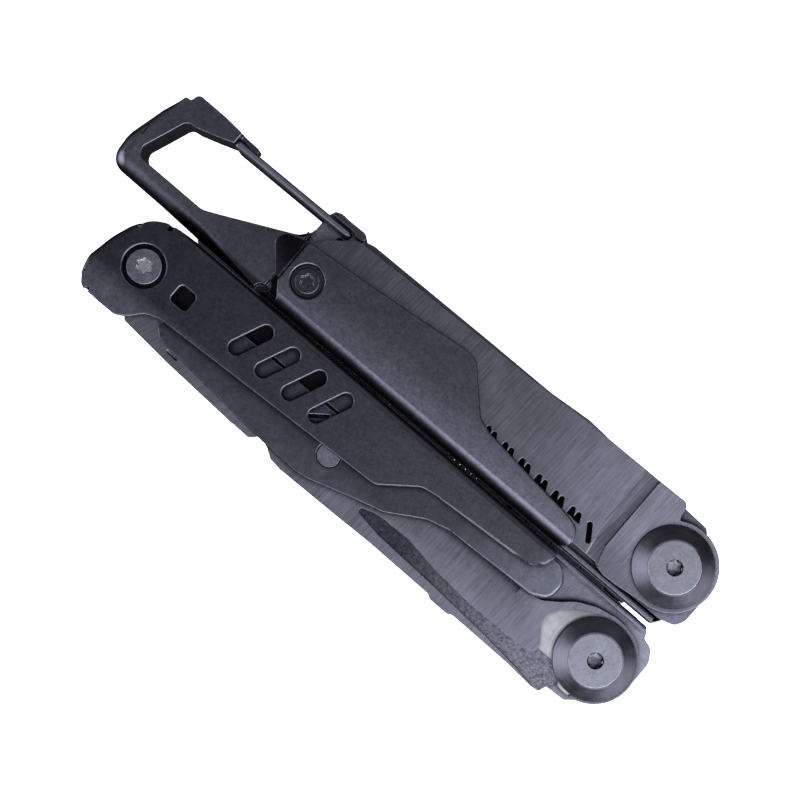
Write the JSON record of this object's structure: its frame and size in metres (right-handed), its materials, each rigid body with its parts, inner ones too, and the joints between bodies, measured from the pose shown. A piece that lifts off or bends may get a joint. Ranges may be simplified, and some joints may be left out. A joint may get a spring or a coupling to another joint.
{
  "type": "folding pliers multi tool",
  "caption": "Closed folding pliers multi tool with sheet-metal handles, outside-opening blades, end tools and a snap hook with wire gate on one handle.",
  "frame": {"origin": "centre of the closed tool's box, on its lowest face", "axes": "+X from the snap hook towards the pliers' handle pivots, +Y across the handles towards the handle with the snap hook, +Z through the thickness towards the knife and saw side"},
  "size_m": [0.1154, 0.0386, 0.0198],
  "materials": {
    "cover_black": "bead-blasted matte black oxide",
    "channel_black": "matte black oxide",
    "carabiner_black": "matte black, softly rounded edges",
    "liner_black": "satin black oxide",
    "blade_black": "black oxide over a ground surface, cross brushed",
    "tool_black": "satin black oxide",
    "jaw_steel": "black oxide",
    "washer_dark": "turned, dark satin",
    "screw_grey": "blasted dark grey",
    "small_screw_black": "black, worn bright in the socket",
    "wire_black": "satin black wire",
    "bright_steel": "bare steel"
  },
  "bodies": {
    "pivot_rivet": {"jaw_rivet": "jaw_steel"},
    "jaw_a": {"jaw_a": "jaw_steel"},
    "jaw_b": {"jaw_b": "jaw_steel"},
    "handle_a": {"handle_a_channel": "channel_black", "handle_a_cover_front": "cover_black", "handle_a_cover_back": "cover_black", "handle_a_liner_front": "liner_black", "handle_a_liner_back": "liner_black", "handle_a_axle": "bright_steel", "handle_a_washer_front": "washer_dark", "handle_a_washer_back": "washer_dark", "handle_a_pivot_screws": "screw_grey", "carabiner_body": "carabiner_black", "carabiner_spacers": "channel_black", "carabiner_screws": "small_screw_black"},
    "gate": {"gate_wire": "wire_black"},
    "saw": {"saw_blade": "blade_black"},
    "file": {"file_blade": "blade_black"},
    "handle_b": {"handle_b_channel": "channel_black", "handle_b_cover_front": "cover_black", "handle_b_cover_back": "cover_black", "handle_b_liner_front": "liner_black", "handle_b_liner_back": "liner_black", "handle_b_liner_rivets": "liner_black", "handle_b_axle": "bright_steel", "handle_b_washer_front": "washer_dark", "handle_b_washer_back": "washer_dark", "handle_b_pivot_screws": "screw_grey", "end_tool_axle": "bright_steel", "end_tool_spacers": "bright_steel", "end_tool_bushes": "channel_black", "end_tool_screws": "small_screw_black", "end_tool_spring": "jaw_steel"},
    "knife": {"knife_blade": "blade_black"},
    "serrated": {"serrated_blade": "blade_black"},
    "bottle_opener": {"bottle_opener": "tool_black"},
    "large_flat_driver": {"large_flat_driver": "tool_black"},
    "cross_driver": {"cross_driver": "tool_black"},
    "awl": {"awl": "tool_black"}
  },
  "joints": [
    {"name": "handle_a_unfold", "type": "hinge", "parent": "jaw_a", "child": "handle_a", "pos_m": [0.0504, 0.00979, 0.0099], "axis": [0, 0, -1], "range_deg": [0, 180]},
    {"name": "handle_b_unfold", "type": "hinge", "parent": "jaw_b", "child": "handle_b", "pos_m": [0.0504, -0.00902, 0.0099], "axis": [0, 0, 1], "range_deg": [0, 180]},
    {"name": "jaw_a_open", "type": "hinge", "parent": "pivot_rivet", "child": "jaw_a", "pos_m": [0.0369, 0.00038, 0.0099], "axis": [0, 0, 1], "range_deg": [0, 15]},
    {"name": "jaw_b_open", "type": "hinge", "parent": "pivot_rivet", "child": "jaw_b", "pos_m": [0.0369, 0.00038, 0.0099], "axis": [0, 0, -1], "range_deg": [0, 15]},
    {"name": "saw_open", "type": "hinge", "parent": "handle_a", "child": "saw", "pos_m": [0.0504, 0.00979, 0.0099], "axis": [0, 0, 1], "range_deg": [-175, 0]},
    {"name": "file_open", "type": "hinge", "parent": "handle_a", "child": "file", "pos_m": [0.0504, 0.00979, 0.0099], "axis": [0, 0, 1], "range_deg": [-175, 0]},
    {"name": "gate_open", "type": "hinge", "parent": "handle_a", "child": "gate", "pos_m": [-0.0216, 0.01623, 0.0099], "axis": [0, 0, 1], "range_deg": [0, 25], "stiffness_Nm_per_rad": 0.08, "springref_deg": -6.88},
    {"name": "knife_open", "type": "hinge", "parent": "handle_b", "child": "knife", "pos_m": [0.0504, -0.00902, 0.0099], "axis": [0, 0, -1], "range_deg": [-175, 0]},
    {"name": "serrated_open", "type": "hinge", "parent": "handle_b", "child": "serrated", "pos_m": [0.0504, -0.00902, 0.0099], "axis": [0, 0, -1], "range_deg": [-175, 0]},
    {"name": "bottle_opener_open", "type": "hinge", "parent": "handle_b", "child": "bottle_opener", "pos_m": [-0.0418, -0.00796, 0.0099], "axis": [0, 0, 1], "range_deg": [-170, 0]},
    {"name": "large_flat_driver_open", "type": "hinge", "parent": "handle_b", "child": "large_flat_driver", "pos_m": [-0.0418, -0.00796, 0.0099], "axis": [0, 0, 1], "range_deg": [-170, 0]},
    {"name": "cross_driver_open", "type": "hinge", "parent": "handle_b", "child": "cross_driver", "pos_m": [-0.0418, -0.00796, 0.0099], "axis": [0, 0, 1], "range_deg": [-170, 0]},
    {"name": "awl_open", "type": "hinge", "parent": "handle_b", "child": "awl", "pos_m": [-0.0418, -0.00796, 0.0099], "axis": [0, 0, 1], "range_deg": [-170, 0]}
  ],
  "couplings": [
    {"joint": "jaw_a_open", "follows": "handle_a_unfold", "ratio": 0.0833},
    {"joint": "jaw_b_open", "follows": "handle_b_unfold", "ratio": 0.0833}
  ]
}
